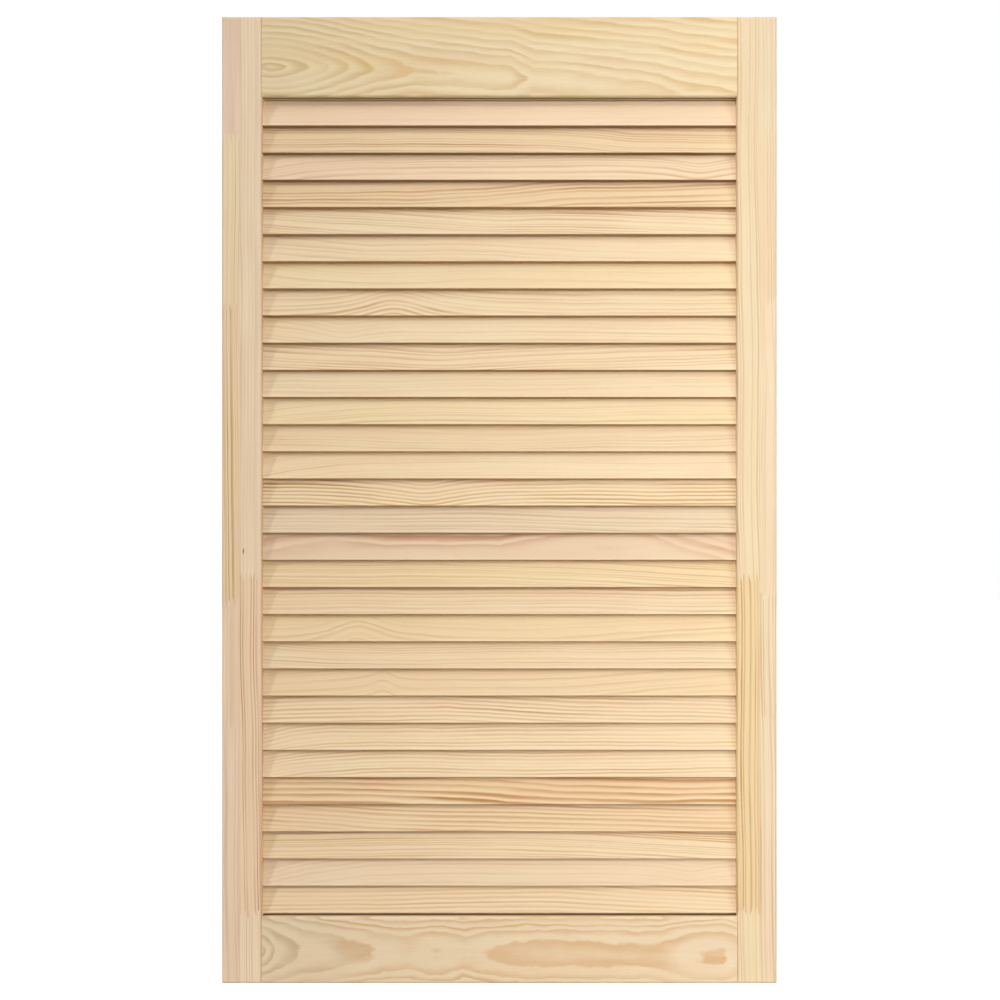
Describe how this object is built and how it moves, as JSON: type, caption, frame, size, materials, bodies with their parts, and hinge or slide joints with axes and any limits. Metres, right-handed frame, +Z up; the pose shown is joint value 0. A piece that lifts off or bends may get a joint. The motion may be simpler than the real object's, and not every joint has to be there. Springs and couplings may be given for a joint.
{
  "type": "louvred door",
  "caption": "Flat pine louvred door leaf: two stiles and two rails around a closed stack of overlapping slats that lean back and stand in stopped slots.",
  "frame": {"origin": "centre of the left stile's outer edge (left as seen from the front), halfway up and in the middle of the thickness", "axes": "+Z up along the stiles, +X to the right seen from the front, +Y from the front to the back; the slats show their leaning faces to the front, towards -Y"},
  "size_m": [0.488, 0.021, 0.85],
  "materials": {
    "pine_frame": "sanded, unfinished",
    "pine_slats": "planed, unfinished"
  },
  "bodies": {
    "root": {"left_stile": "pine_frame", "right_stile": "pine_frame", "top_rail": "pine_frame", "bottom_rail": "pine_frame", "louvre_slat_01": "pine_slats", "louvre_slat_02": "pine_slats", "louvre_slat_03": "pine_slats", "louvre_slat_04": "pine_slats", "louvre_slat_05": "pine_slats", "louvre_slat_06": "pine_slats", "louvre_slat_07": "pine_slats", "louvre_slat_08": "pine_slats", "louvre_slat_09": "pine_slats", "louvre_slat_10": "pine_slats", "louvre_slat_11": "pine_slats", "louvre_slat_12": "pine_slats", "louvre_slat_13": "pine_slats", "louvre_slat_14": "pine_slats", "louvre_slat_15": "pine_slats", "louvre_slat_16": "pine_slats", "louvre_slat_17": "pine_slats", "louvre_slat_18": "pine_slats", "louvre_slat_19": "pine_slats", "louvre_slat_20": "pine_slats", "louvre_slat_21": "pine_slats", "louvre_slat_22": "pine_slats", "louvre_slat_23": "pine_slats", "louvre_slat_24": "pine_slats", "louvre_slat_25": "pine_slats", "louvre_slat_26": "pine_slats", "louvre_slat_27": "pine_slats", "louvre_slat_28": "pine_slats", "louvre_slat_29": "pine_slats", "louvre_slat_30": "pine_slats"}
  },
  "joints": []
}
